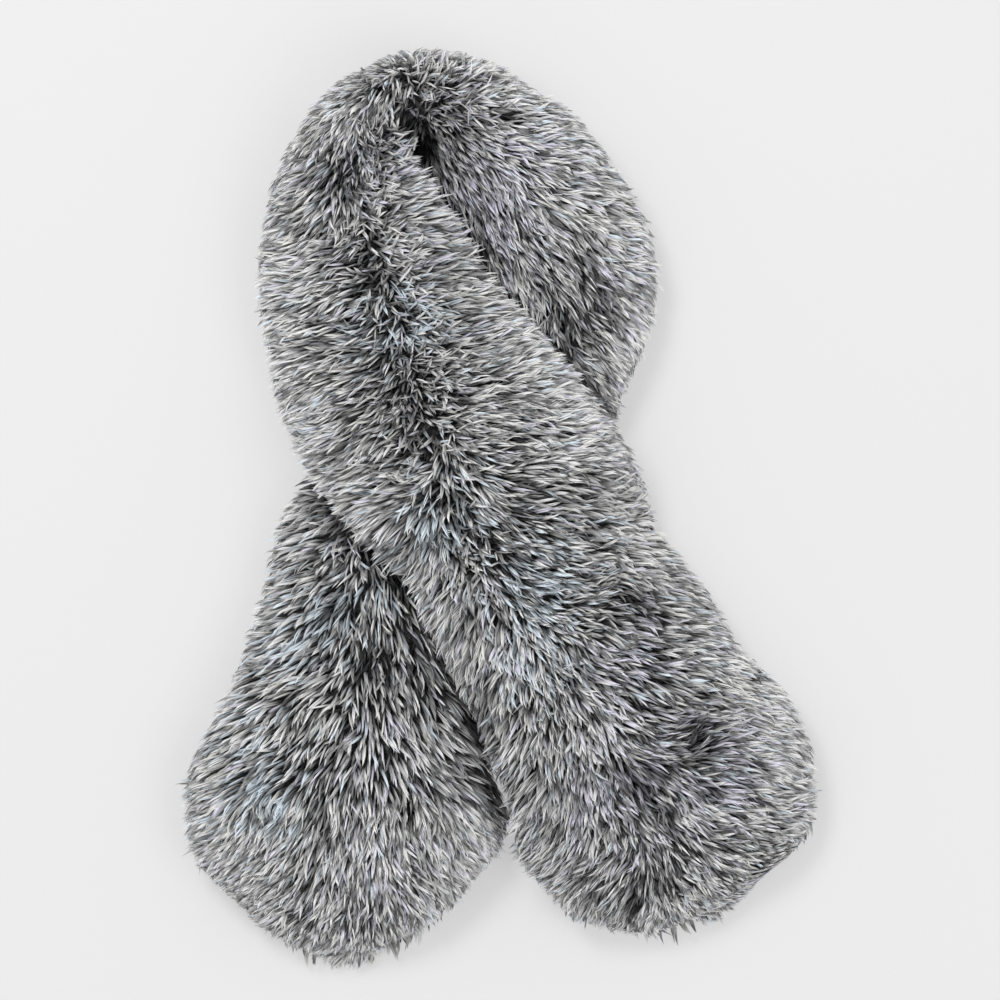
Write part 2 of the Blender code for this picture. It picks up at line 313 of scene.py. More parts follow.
def read(values, row, column):
    """A grid's values at fractional places, round the ring."""
    r, c = np.floor(row).astype(int), np.floor(column).astype(int)
    fr, fc = (row - r)[:, None], (column - c)[:, None]
    c, d = c % AROUND, (c + 1) % AROUND
    return (values[r, c] * (1 - fr) * (1 - fc) + values[r, d] * (1 - fr) * fc
            + values[r + 1, c] * fr * (1 - fc) + values[r + 1, d] * fr * fc)


# ---- The nap ----

# The face of a tail parts along a line from which the hairs fall to both sides and down. x is that
# line's place at y, spread how soon they lie sideways, left and right how steeply they fall there.
PARTING_COLUMNS = ("y", "x", "spread", "left", "right")
PARTINGS = {
    "over": (
        (190, -72, 30, 0.90, -0.30),
        (150, -70, 30, 0.70, -0.25),
        (120, -62, 28, 0.40, -0.05),
        (80, -45, 28, 0.30, 0.05),
        (40, -41, 28, 0.25, 0.30),
        (0, -35, 28, 0.40, 0.40),
        (-30, -22, 30, 0.80, 0.50),
        (-70, -12, 45, 1.00, 0.70),
        (-110, 0, 60, 0.90, 0.75),
        (-150, 29, 60, 0.80, 0.80),
        (-190, 60, 50, 0.80, 0.80),
        (-230, 71, 50, 0.90, 0.90),
    ),
    "under": (
        (20, -88, 30, 0.60, 0.90),
        (-20, -77, 35, 0.50, 1.10),
        (-80, -70, 50, 0.80, 1.20),
        (-150, -60, 75, 1.00, 1.20),
        (-220, -62, 75, 1.10, 1.10),
    ),
}
PARTING_BLEND = 0.6  # of the spread, over which the left's fall turns into the right's
MOST_SIDEWAYS = 1.5

WHORL = (-45.0, 192.0)  # where the neck's hairs spring from
WHORL_FALL = (1.0, 0.28)  # how steeply they fall to its left and right
WHORL_BLEND = 14.0
WHORL_SOFTNESS = 12.0

# Whorls, hollows and tufts that stand up: a place, a reach, a turn in degrees and a lift. Where the lift
# stands the hairs up, their tone is painted darker, as painted shade in the hollow.
SWIRL_COLUMNS = ("x", "y", "reach", "turn", "lift")
SWIRLS = (
    (-80, 172, 14, 35, 0.5),
    (-66, 122, 14, -40, 0.5),
    (-55, 58, 18, 50, 0.4),
    (-44, 14, 16, -45, 0.5),
    (-26, -28, 20, 45, 0.6),
    (70, -52, 16, -25, 0.3),
    (97, -124, 14, 55, 0.6),
    (64, -184, 14, -50, 0.4),
    (30, -60, 16, 30, 0.2),
    (-64, -82, 16, -25, 0.3),
    (-122, -153, 15, 30, 0.4),
    (27, 96, 12, -25, 0.3),
)

# Where the hairs lie shorter than elsewhere: a place, a reach, and by what share.
TRIM_COLUMNS = ("x", "y", "reach", "shorter")
TRIMS = (
    (150, -188, 22, 0.9),
    (128, -212, 18, 0.6),
    (-140, -205, 16, 0.8),
    (22, -200, 14, 0.6),
    (-6, -192, 12, 0.6),
    (70, 66, 12, 0.5),
)
MOST_TRIM = 0.9

# Uneven fields over the plan: how far apart their swells are, and how far they turn the nap.
SWELLS = {"slow": (38.0, 70.0), "quick": (12.0, 26.0), "small": (4.5, 9.0), "shade": (38.0, 70.0)}
WAVER = {"slow": math.radians(13), "quick": math.radians(8), "small": math.radians(10)}
WAVE_COUNT = 9
wave_shapes = {name: rng.random((WAVE_COUNT, 3)) for name in SWELLS}


def waves(x, y, kind):
    """A smooth uneven field over the plan, mostly from -1 to 1."""
    shortest, longest = SWELLS[kind]
    total = 0.0
    for heading, phase, size in wave_shapes[kind]:
        angle = heading * 2 * math.pi
        number = 2 * math.pi / (shortest + (longest - shortest) * size)
        along = x * math.cos(angle) + y * math.sin(angle)
        total = total + np.sin(along * number + phase * 2 * math.pi)
    return total / math.sqrt(WAVE_COUNT)


def flow_at(stretch, xy):
    """The way the hairs lie in plan at each point of a face, as unit vectors, and how strongly."""
    x, y = xy.T
    if stretch == "neck":
        dx, dy = x - WHORL[0], y - WHORL[1]
        away = np.hypot(dx, dy) + WHORL_SOFTNESS
        side = smoothstep(dx / WHORL_BLEND + 0.5)
        fall = WHORL_FALL[0] * (1 - side) + WHORL_FALL[1] * side
        flow = np.stack([dx / away, dy / away - fall], 1)
    else:
        table = dict(zip(PARTING_COLUMNS, np.array(PARTINGS[stretch])[::-1].T))
        line, spread, left, right = (np.interp(y, table["y"], table[k]) for k in PARTING_COLUMNS[1:])
        sideways = np.clip((x - line) / spread, -MOST_SIDEWAYS, MOST_SIDEWAYS)
        side = smoothstep(sideways / PARTING_BLEND + 0.5)
        flow = np.stack([sideways, -(left * (1 - side) + right * side)], 1)
    turn = np.zeros(len(x))
    for swirl in named(SWIRL_COLUMNS, SWIRLS):
        turn += np.radians(swirl["turn"]) * nearness(swirl, x, y)
    turn += sum(size * waves(x, y, kind) for kind, size in WAVER.items())
    flow = np.stack([flow[:, 0] * np.cos(turn) - flow[:, 1] * np.sin(turn),
                     flow[:, 0] * np.sin(turn) + flow[:, 1] * np.cos(turn)], 1)
    return unit(flow), np.linalg.norm(flow, axis=1)


def lift_at(x, y):
    """How much the swirls stand the hairs up at each point, from 0 to 1."""
    total = np.zeros(len(x))
    for swirl in named(SWIRL_COLUMNS, SWIRLS):
        total += swirl["lift"] * nearness(swirl, x, y)
    return np.clip(total, 0.0, 1.0)


def trim_at(x, y):
    """The share of a hair's lean that is left at each point."""
    total = np.zeros(len(x))
    for trim in named(TRIM_COLUMNS, TRIMS):
        total += trim["shorter"] * nearness(trim, x, y)
    return 1 - np.minimum(total, MOST_TRIM)


# ---- The coat's tones ----

# How light the hairs are: the lowest and the highest locks, how unevenly, and what each place adds,
# partly as painted light and painted shade.
LOW_TONE, HIGH_TONE = 0.25, 0.84
UNEVEN = {"shade": 0.045, "quick": 0.045, "small": 0.05}
LOCK_UNEVEN, HAIR_UNEVEN = 0.17, 0.04
# The sides and tips of the strip are painted lighter and evener in tone, as painted light on its rounded
# edges. TIP_ROWS sets how far this painted light reaches in from a tail's tip.
EDGE_FROM, EDGE_PAINTED_LIGHT, EDGE_EVENER = 0.4, 0.22, 0.6
TIP_ROWS = 2.2  # of the table, over which a tail grows lighter towards its tip
# How much darker the swirls' lift paints the hairs, as painted shade in their hollows.
SWIRL_PAINTED_SHADE = 0.14
# Painted shade on the neck and the lower tail where they run under the upper tail: how much darker, and
# how far beyond the upper tail's edge it reaches.
UNDER_TAIL_PAINTED_SHADE = {"neck": 0.40, "under": 0.26}
UNDER_TAIL_SHADE_REACH = 11.0  # beyond the upper tail's edge

# Lighter and darker places of the fur, and bluish and violet ones: the middle, the reach, how much. Most
# are the fur's own tone, but the darkest, at the neck's whorl and along the crease between the lobes,
# are painted shade.
PATCH_COLUMNS = ("x", "y", "reach", "lighter", "blue", "violet")
TONE_AND_SHADE_PATCHES = (
    # Painted shade in the pit of the neck's whorl.
    (-46, 197, 5, -0.40, 0.0, 0.3),
    (-43, 187, 6, -0.60, 0.0, 0.0),
    (-58, 202, 9, 0.16, 0.0, 0.3),
    (-78, 174, 16, -0.10, 0.2, 0.6),
    (-10, 168, 30, 0.12, 0.0, 0.7),
    (44, 168, 26, 0.12, 0.0, 0.0),
    (5, 138, 18, 0.10, 0.0, 0.3),
    (4, 100, 16, 0.14, 0.0, 0.0),
    (-52, 92, 18, 0.0, 1.0, 0.2),
    (40, 96, 12, -0.26, 0.0, 0.0),
    (52, 72, 9, -0.22, 0.0, 0.0),
    (70, 86, 14, 0.12, 0.0, 0.0),
    (60, 118, 16, 0.0, 0.0, 0.6),
    (-50, 57, 20, -0.10, 0.0, 0.0),
    (24, 58, 14, 0.10, 0.0, 0.0),
    (40, 36, 16, 0.12, 0.0, 0.0),
    (-32, -8, 17, -0.06, 1.0, 0.0),
    (16, -40, 22, -0.04, 1.0, 0.3),
    (-88, -14, 14, 0.16, 0.0, 0.0),
    (-62, -44, 14, 0.12, 0.2, 0.0),
    (-84, -52, 18, 0.05, 0.9, 0.0),
    (-112, -66, 18, 0.14, 0.4, 0.0),
    (-38, -88, 16, -0.12, 0.0, 0.0),
    (18, -84, 18, 0.10, 0.3, 0.3),
    (68, -56, 14, -0.14, 0.0, 0.3),
    (92, -124, 26, -0.14, 0.0, 0.6),
    (70, -160, 26, -0.12, 0.0, 0.4),
    (54, -140, 18, -0.06, 0.1, 0.9),
    (66, -84, 18, -0.04, 0.2, 0.8),
    (116, -140, 14, 0.04, 0.2, 0.9),
    (-120, -153, 16, 0.12, 1.0, 0.0),
    (-56, -118, 20, 0.10, 0.0, 0.3),
    (-124, -128, 20, 0.08, 0.6, 0.0),
    (4, -104, 14, -0.06, 0.0, 0.0),
    (-66, -196, 20, 0.0, 0.0, 0.5),
    (5, 182, 24, 0.10, 0.0, 0.2),
    (-88, 100, 24, 0.07, 0.0, 0.0),
    (58, 76, 14, 0.10, 0.0, 0.0),
    (-90, -122, 24, 0.15, 0.0, 0.0),
    (18, -68, 20, 0.20, 0.3, 0.0),
    (55, -108, 16, 0.08, 0.0, 0.0),
    # Painted shade along the crease between the lobes.
    (-14, -112, 12, -0.32, 0.0, 0.0),
    (-4, -142, 12, -0.36, 0.0, 0.0),
    (-14, -88, 11, -0.14, 0.0, 0.0),
    (-38, -108, 16, 0.12, 0.0, 0.0),
    (-44, 208, 20, 0.12, 0.0, 0.0),
    (0, 200, 20, 0.10, 0.0, 0.0),
    (-55, 158, 14, 0.10, 0.0, 0.0),
    (-100, -60, 24, 0.08, 0.3, 0.0),
    (-100, 24, 20, 0.08, 0.0, 0.0),
    (40, -128, 16, 0.12, 0.1, 0.0),
    (68, -150, 20, -0.10, 0.0, 0.0),
    (88, -90, 20, -0.08, 0.0, 0.0),
    (70, -46, 10, -0.10, 0.0, 0.0),
    (-110, -170, 20, -0.06, 0.0, 0.0),
    (-54, -24, 9, -0.30, 0.0, 0.0),
    (-16, -67, 12, -0.14, 0.0, 0.0),
    (-78, 16, 16, -0.12, 0.0, 0.0),
    (46, 16, 14, -0.10, 0.0, 0.0),
    (88, -25, 12, -0.12, 0.0, 0.0),
)

# Painted shade along the creases where the fur parts: from, to, the reach and how much darker.
CREASE_COLUMNS = ("x0", "y0", "x1", "y1", "reach", "darker")
PAINTED_CREASE_SHADES = (
    (-47, 208, -42, 180, 4, 0.45),
    (72, -192, 64, -224, 4, 0.30),
    (36, -184, 52, -208, 5, 0.24),
    (96, -118, 104, -126, 5, 0.30),
    (-95, -126, -90, -170, 4, 0.24),
    (-12, -96, -3, -160, 6, 0.20),
    (-84, 178, -78, 160, 6, 0.20),
    (-68, 126, -60, 112, 6, 0.20),
    (48, 104, 58, 98, 5, 0.30),
    (66, -50, 80, -70, 7, 0.12),
    (-50, 76, -44, 40, 8, 0.12),
    (-90, -30, -66, -84, 5, 0.20),
    (62, -136, 86, -162, 6, 0.14),
    (-104, -190, -100, -216, 5, 0.18),
    (-46, -150, -40, -190, 5, 0.12),
)

# Each hair takes a group of the palette and one of its steps of tone.
TINTS = (
    (1.0, 1.0, 1.0),  # plain
    (0.96, 0.93, 1.06),  # violet
    (0.88, 0.98, 1.06),  # blue
    (1.01, 1.0, 0.97),  # warm
)
VIOLET, BLUE = 1, 2  # their places among the tints
TINT_SHARES = (0.66, 0.07, 0.07, 0.20)
PATCH_TINT = 0.8  # of the hairs in a patch's middle that take its tint
BANDED = len(TINTS)  # the palette's last group, of hairs with a dark tip
BANDED_SHARE = 0.14
GROUPS = len(TINTS) + 1
TONES = 24  # steps of tone in each group
LEAST_TONE, MOST_TONE = 0.02, 0.98


def crease_shade_at(x, y):
    """How much darker the creases' painted shade makes the fur at each point."""
    total = np.zeros(len(x))
    for crease in named(CREASE_COLUMNS, PAINTED_CREASE_SHADES):
        from_x, from_y = x - crease["x0"], y - crease["y0"]
        dx, dy = crease["x1"] - crease["x0"], crease["y1"] - crease["y0"]
        along = np.clip((from_x * dx + from_y * dy) / (dx * dx + dy * dy), 0, 1)
        away = np.hypot(from_x - dx * along, from_y - dy * along)
        total += crease["darker"] * np.exp(-((away / crease["reach"]) ** 2))
    return total


def tone_and_shade_at(x, y):
    """How much lighter, bluer and more violet the fur is at each point, in its own tone and in painted
    shade.
    """
    total = np.zeros((3, len(x)))
    for patch in named(PATCH_COLUMNS, TONE_AND_SHADE_PATCHES):
        amounts = np.array([patch["lighter"], patch["blue"], patch["violet"]])
        total += nearness(patch, x, y) * amounts[:, None]
    return total


OVER_STEP = 0.1  # of a row, between the points of the upper tail's outline
FAR = 99.0  # stands for the depth of a point past the tail's ends, which lies well outside it
over_t = np.arange(0, STRETCHES["over"][1], OVER_STEP)
over_centre, _, over_right = middle(over_t)
over_half = strip(over_t)["half"]


def depth_under_tail(xy):
    """How far each point lies inside the upper tail's outline, in plan."""
    away = ((xy[:, None, :] - over_centre[None]) ** 2).sum(2)
    nearest = away.argmin(1)
    across = np.abs(((xy - over_centre[nearest]) * over_right[nearest]).sum(1))
    at_end = (nearest == 0) | (nearest == len(over_t) - 1)
    return np.where(at_end, -FAR, over_half[nearest] - across)


def edge_of(stretch, lock):
    """How near each lock is to the strip's sides and tips, from 0 to 1."""
    from_tip = lock["t"] if stretch == "over" else LAST - lock["t"]
    at_side = smoothstep((lock["across"] - EDGE_FROM) / (1 - EDGE_FROM))
    return np.maximum(at_side, smoothstep(1 - from_tip / TIP_ROWS))


def tones(stretch, face, lock):
    """Each lock's tone, from 0 to 1, with painted light at the edges and painted shade in hollows,
    creases and by the upper tail, and its group in the palette.
    """
    xy = lock["reach"][:, :2]
    x, y = xy.T
    count = len(xy)
    edge = edge_of(stretch, lock)
    even = 1 - EDGE_EVENER * edge
    middling = (LOW_TONE + HIGH_TONE) / 2
    tone = middling + (HIGH_TONE - LOW_TONE) * (smoothstep(lock["high"]) - 0.5) * even
    tone += LOCK_UNEVEN * rng.normal(0, 1, count) * even
    tone += sum(size * waves(x, y, kind) for kind, size in UNEVEN.items())
    lighter, blue, violet = tone_and_shade_at(x, y) if face else np.zeros((3, count))
    tone += EDGE_PAINTED_LIGHT * edge + lighter - SWIRL_PAINTED_SHADE * lift_at(x, y)
    # Painted shade in the creases.
    if face:
        tone -= crease_shade_at(x, y)
    # Painted shade where the neck and the lower tail run under the upper tail.
    if face and stretch != "over":
        painted_shade_near_tail = smoothstep(1 + depth_under_tail(xy) / UNDER_TAIL_SHADE_REACH)
        tone -= UNDER_TAIL_PAINTED_SHADE[stretch] * painted_shade_near_tail
    shares = np.cumsum(TINT_SHARES)
    group = (rng.random((count, 1)) * shares[-1] > shares).sum(1)
    group = np.where(rng.random(count) < PATCH_TINT * violet, VIOLET, group)
    group = np.where(rng.random(count) < PATCH_TINT * blue, BLUE, group)
    group = np.where(rng.random(count) < BANDED_SHARE, BANDED, group)
    return tone, group


# ---- Materials ----

PALETTE = "Palette"  # the UV map whose u is a hair's tone and tint, and whose v runs from root to tip
HAIR_COLOUR, HAIR_ROUGHNESS = (0.26, 0.26, 0.27), 0.42
HAIR_SPECULAR, HAIR_SHEEN, HAIR_SHEEN_ROUGHNESS = 0.35, 0.15, 0.4
TONE_STOPS = ((0.0, 0.010), (0.25, 0.07), (0.5, 0.30), (0.75, 0.68), (1.0, 1.0))
ROOT_TO_TIP = ((0.0, 0.03), (0.3, 0.18), (0.6, 0.8), (0.8, 1.0), (1.0, 0.95))
BANDED_TO_TIP = ((0.0, 0.05), (0.35, 0.35), (0.6, 0.85), (0.78, 0.35), (1.0, 0.08))

SKIN_ROUGHNESS, SKIN_SHEEN = 0.9, 0.3
# The face's underfur greys are near black: partly the underfur's own dark colour, partly painted shade
# that stands for the deep shadow between the guard hairs.
FACE_UNDERFUR_AND_SHADE_GREYS = (0.006, 0.025, 0.09)
BACK_GREYS = (0.03, 0.12, 0.32)  # lighter, because the back's fur is pressed flat and shows its tips
GREY_PLACES = (0.3, 0.5, 0.72)  # of the mottling's noise
MOTTLE_SCALE, MOTTLE_DETAIL = 900.0, 6.0
MATTING, MATTING_DEPTH = 0.8, 0.0015


def new_material(name, colour, roughness):
    """A plain material with its nodes, links and shader."""
    made = bpy.data.materials.new(name)
    made.use_nodes = True
    shader = made.node_tree.nodes["Principled BSDF"]
    shader.inputs["Base Color"].default_value = (*colour, 1.0)
    shader.inputs["Roughness"].default_value = roughness
    shader.inputs["Metallic"].default_value = 0.0
    made.diffuse_color = (*colour, 1.0)
    return made, made.node_tree.nodes, made.node_tree.links, shader


def ramp(nodes, stops, interpolation="LINEAR"):
    """A colour ramp through (position, grey or colour) stops."""
    node = nodes.new("ShaderNodeValToRGB")
    node.color_ramp.interpolation = interpolation
    elements = node.color_ramp.elements
    while len(elements) < len(stops):
        elements.new(0.5)
    for element, (place, value) in zip(elements, stops):
        element.position = place
        element.color = (*(value if isinstance(value, tuple) else (value,) * 3), 1.0)
    return node


def math_node(nodes, links, operation, first, second=None):
    """The result of an operation on a socket and, where it takes one, a number."""
    node = nodes.new("ShaderNodeMath")
    node.operation = operation
    links.new(first, node.inputs[0])
    if second is not None:
        node.inputs[1].default_value = second
    return node.outputs[0]


def multiply(nodes, links, first, second):
    """The product of two colour sockets."""
    node = nodes.new("ShaderNodeMix")
    node.data_type, node.blend_type = "RGBA", "MULTIPLY"
    node.inputs["Factor"].default_value = 1.0
    links.new(first, node.inputs["A"])
    links.new(second, node.inputs["B"])
    return node.outputs["Result"]


def hair_material():
    """Guard hairs: dark at the root, light or banded towards the tip, in the palette's tone and tint."""
    made, nodes, links, shader = new_material("guard_hair", HAIR_COLOUR, HAIR_ROUGHNESS)
    place = nodes.new("ShaderNodeUVMap")
    place.uv_map = PALETTE
    split = nodes.new("ShaderNodeSeparateXYZ")
    links.new(place.outputs["UV"], split.inputs[0])
    u, v = split.outputs["X"], split.outputs["Y"]
    tone = math_node(nodes, links, "FRACT", math_node(nodes, links, "MULTIPLY", u, GROUPS))
    greys = ramp(nodes, TONE_STOPS)
    links.new(tone, greys.inputs[0])
    group_tints = TINTS + (TINTS[0],)
    tints = ramp(nodes, [(k / GROUPS, tint) for k, tint in enumerate(group_tints)], "CONSTANT")
    links.new(u, tints.inputs[0])
    plain, banded = ramp(nodes, ROOT_TO_TIP), ramp(nodes, BANDED_TO_TIP)
    links.new(v, plain.inputs[0])
    links.new(v, banded.inputs[0])
    is_banded = math_node(nodes, links, "GREATER_THAN", u, BANDED / GROUPS)
    along = nodes.new("ShaderNodeMix")
    along.data_type = "RGBA"
    links.new(is_banded, along.inputs["Factor"])
    links.new(plain.outputs[0], along.inputs["A"])
    links.new(banded.outputs[0], along.inputs["B"])
    colour = multiply(nodes, links, greys.outputs[0], along.outputs["Result"])
    links.new(multiply(nodes, links, colour, tints.outputs[0]), shader.inputs["Base Color"])
    shader.inputs["Specular IOR Level"].default_value = HAIR_SPECULAR
    shader.inputs["Sheen Weight"].default_value = HAIR_SHEEN
    shader.inputs["Sheen Roughness"].default_value = HAIR_SHEEN_ROUGHNESS
    return made


def skin_material(name, greys):
    """The dense underfur: short, matted, and mottled between the given greys."""
    made, nodes, links, shader = new_material(name, (greys[1],) * 3, SKIN_ROUGHNESS)
    place = nodes.new("ShaderNodeTexCoord")
    noise = nodes.new("ShaderNodeTexNoise")
    noise.inputs["Scale"].default_value = MOTTLE_SCALE
    noise.inputs["Detail"].default_value = MOTTLE_DETAIL
    links.new(place.outputs["Object"], noise.inputs["Vector"])
    shades = ramp(nodes, tuple(zip(GREY_PLACES, greys)))
    links.new(noise.outputs["Fac"], shades.inputs[0])
    links.new(shades.outputs[0], shader.inputs["Base Color"])
    bump = nodes.new("ShaderNodeBump")
    bump.inputs["Strength"].default_value = MATTING
    bump.inputs["Distance"].default_value = MATTING_DEPTH
    links.new(noise.outputs["Fac"], bump.inputs["Height"])
    links.new(bump.outputs["Normal"], shader.inputs["Normal"])
    shader.inputs["Sheen Weight"].default_value = SKIN_SHEEN
    return made


HAIR = hair_material()
# The face's skin is near black, partly as painted shade between the hairs.
FACE_UNDERFUR_AND_SHADE = skin_material("underfur", FACE_UNDERFUR_AND_SHADE_GREYS)
BACK_SKIN = skin_material("underfur_back", BACK_GREYS)


# ---- Skins ----

WALL = 1.5  # of the knitted backing with its underfur
BACK_SKIN_WIDTH = 0.9  # of the strip's, on the back


def link(obj):
    """Puts an object in the scene."""
    bpy.context.scene.collection.objects.link(obj)
    return obj


def wall_faces(rows):
    """The faces of a closed wall between an outer grid of rings and an inner one that follows it."""
    faces = []
    inner = rows * AROUND
    for i in range(AROUND):
        j = (i + 1) % AROUND
        for ring in range(0, (rows - 1) * AROUND, AROUND):
            quad = [ring + i, ring + j, ring + AROUND + j, ring + AROUND + i]
            faces.append(quad)
            faces.append([inner + point for point in reversed(quad)])
        end = (rows - 1) * AROUND
        faces.append([i, inner + i, inner + j, j])
        faces.append([end + j, inner + end + j, inner + end + i, end + i])
    return faces


def skin(stretch):
    """A thin wall on the stretch's form, drawn in from the hairs' reach, all round the strip."""
    outer, _ = grid(stretch, SKIN_INSET)
    inner = outer - grid_normals(outer) * WALL
    points = np.concatenate([outer.reshape(-1, 3), inner.reshape(-1, 3)]) * MM
    mesh = bpy.data.meshes.new(stretch + "_skin")
    mesh.from_pydata(points.tolist(), [], wall_faces(len(outer)))
    mesh.materials.append(FACE_UNDERFUR_AND_SHADE)
    mesh.materials.append(BACK_SKIN)
    u, over_top = round_section()
    lower = ~over_top & (np.abs(u) < BACK_SKIN_WIDTH)
    for polygon in mesh.polygons:
        polygon.use_smooth = True
        polygon.material_index = int(all(lower[i % AROUND] for i in polygon.vertices))
    return link(bpy.data.objects.new(stretch + "_skin", mesh))


# ---- Hairs ----

# Each piece is the hairs of one side of a stretch between two rows of the sections' table: how many,
# how far they lie along the nap, and how wide their ribbons are.
START, END = -1, LAST + 1
HAIR_COLUMNS = ("piece", "stretch", "face", "from_row", "to_row", "count", "length", "width")
HAIRS = (
    ("over_pile_lobe", "over", True, START, 4.6, 26000, 11.0, 0.84),
    ("over_pile_tail", "over", True, 4.6, 8.6, 26000, 10.0, 0.84),
    ("over_pile_crossing", "over", True, 8.6, 11.6, 22000, 9.5, 0.84),
    ("over_pile_neck", "over", True, 11.6, END, 15000, 9.5, 0.84),
    ("neck_pile", "neck", True, START, END, 27000, 10.5, 0.84),
    ("under_pile_tail", "under", True, START, 31, 12000, 10.5, 0.84),
    ("under_pile_lobe", "under", True, 31, END, 24000, 11.5, 0.84),
    ("over_pile_back", "over", False, 0.4, END, 14000, 15.0, 1.9),
    ("neck_pile_back", "neck", False, START, END, 6000, 14.0, 1.7),
    ("under_pile_back", "under", False, START, 34.6, 9000, 15.0, 1.9),
)

HAIRS_A_LOCK = 4
LOCK_LENGTH, LOCK_WIDTH = 4.0, 0.40  # the row of a lock's roots along the nap, its spread across
ROW_CLOSING, LOCK_CLOSING = 0.5, 0.5  # how far the row and the spread close up at the tips
LOCK_TURN = 0.15  # how unevenly the locks lie, in radians
FULL_STRENGTH = 1.1  # where the nap is weaker, locks stand up and turn every way
SLACK_LIFT, SLACK_TURN = 0.6, 0.8
TURN_ROW = 17  # at the neck's turn, from which the back's hairs lie towards either tail's tip
BEND, CURL = 1.1, 0.8  # how far a hair's tip bends to a side, and its middle
RISE_POWER, LEAN_POWER = 1.7, 1.5
FACE_STAND, BACK_STAND = (0.50, 0.50), (0.70, 0.25)  # the lowest locks' reach, the highest's gain
HIGH_UNEVEN = 0.16  # how much neighbouring locks stand alike
LIFTED_SHORTER, SIDE_SHORTER = 0.6, 0.15
LEAN_UNEVEN, HAIR_LEAN_UNEVEN, STAND_UNEVEN = 0.18, 0.08, 0.03
HIDDEN_DEPTH = 15.0  # a hair further than this under the upper tail doesn't show
LEAST_HEIGHT, LEAST_EDGE_HEIGHT = 0.35, 0.3  # of a hair's line and its ribbon's edges

STEPS = (0.0, 0.42, 0.80, 1.0)  # along a hair, from its root to its tip
WIDTHS = (0.85, 1.0, 0.7)  # of a hair at its first steps, as shares of its width
WIDTH_RANGE = (0.7, 1.3)
ROLL = 0.6  # how unevenly the ribbons face, in radians
POINTS_A_HAIR = 7
RIBBON = ((0, 1, 3, 2), (2, 3, 5, 4), (4, 5, 6))  # a hair's faces, from its root to its tip
PALETTE_WIDTH, PALETTE_MARGIN = 0.3, 0.01  # of a ribbon in its step of tone, and at the ends of v


def sample(weights, count):
    """Random places on a grid's cells in proportion to the weights, as fractional rows and columns."""
    chosen = rng.choice(weights.size, count, p=(weights / weights.sum()).ravel())
    row, column = np.unravel_index(chosen, weights.shape)
    return row + rng.random(count), column + rng.random(count)


def lock_places(stretch, face, from_row, to_row, locks):
    """Each lock's root on the skin, its place on the outside, the normal, row and share across there."""
    outer, t = grid(stretch, OUTER_INSET)
    inner, _ = grid(stretch, SKIN_INSET)
    normals = grid_normals(outer)
    lengthwise, around = outer[1:] - outer[:-1], np.roll(outer, -1, 1)[:-1] - outer[:-1]
    u, over_top = round_section()
    on_side = over_top | np.roll(over_top, 1) if face else ~over_top
    t_cell = (t[1:] + t[:-1]) / 2
    weights = np.linalg.norm(np.cross(lengthwise, around), axis=2) * on_side[None, :]
    weights = weights * ((t_cell >= from_row) & (t_cell < to_row))[:, None]
    if face and stretch != "over":
        depth = depth_under_tail(outer[:-1].reshape(-1, 3)[:, :2]).reshape(weights.shape)
        weights = weights * (depth <= HIDDEN_DEPTH)
    row, column = sample(weights, locks)
    rows = np.broadcast_to(t[:, None, None], outer.shape[:2] + (1,))
    across = np.broadcast_to(np.abs(u)[None, :, None], outer.shape[:2] + (1,))
    return {
        "root": read(inner, row, column),
        "reach": read(outer, row, column),
        "normal": unit(read(normals, row, column)),
        "t": read(rows, row, column)[:, 0],
        "across": read(across, row, column)[:, 0],
    }


def lay(stretch, face, lock):
    """The way each lock lies on the outside, as a unit vector, and how much it is lifted."""
    t, reach, normal = lock["t"], lock["reach"], lock["normal"]
    if face:
        flow, strength = flow_at(stretch, reach[:, :2])
        slack = 1 - smoothstep(strength / FULL_STRENGTH)
        lift = np.maximum(lift_at(reach[:, 0], reach[:, 1]), SLACK_LIFT * slack)
    else:
        _, flow, _ = middle(np.clip(t, 0, LAST))
        flow = np.where((t < TURN_ROW)[:, None], -flow, flow)
        lift, slack = np.zeros(len(t)), np.zeros(len(t))
    flow = np.column_stack([flow, np.zeros(len(t))])
    # Where the side is steep the hairs hang outwards and down along it.
    flow = unit(flow - normal * (flow * normal).sum(1)[:, None] + TINY)
    turn = rng.normal(0, 1, len(t)) * (LOCK_TURN + SLACK_TURN * slack)
    return turned(flow, normal, turn), lift


def hair_lines(face, hair):
    """(hairs, steps, 3) points along the hairs, which rise from the skin and lean with the nap.

    The hairs of a lock stand in a narrow row along the nap and close up towards their tips.
    """
    count = len(hair["root"])
    sideways = np.cross(hair["normal"], hair["flow"])
    lengthwise = rng.uniform(-0.5, 0.5, count) * LOCK_LENGTH
    widthwise = rng.normal(0, LOCK_WIDTH, count)
    lowest, gain = FACE_STAND if face else BACK_STAND
    stand = (lowest + gain * hair["high"]) * rng.normal(1.0, STAND_UNEVEN, count)
    lean = hair["lean"] * rng.normal(1.0, HAIR_LEAN_UNEVEN, count)
    lines = []
    for s in STEPS:
        rise, lying = 1 - (1 - s) ** RISE_POWER, s**LEAN_POWER
        up = (hair["reach"] - hair["root"]) * (stand * rise)[:, None]
        along = lean * lying + lengthwise * (1 - ROW_CLOSING * s)
        aside = widthwise * (1 - LOCK_CLOSING * s) + hair["bend"] * s**2
        aside = aside + hair["curl"] * math.sin(math.pi * s)
        lines.append(hair["root"] + up + hair["flow"] * along[:, None] + sideways * aside[:, None])
    lines = np.stack(lines, 1)
    lines[..., 2] = np.maximum(lines[..., 2], LEAST_HEIGHT)
    return lines


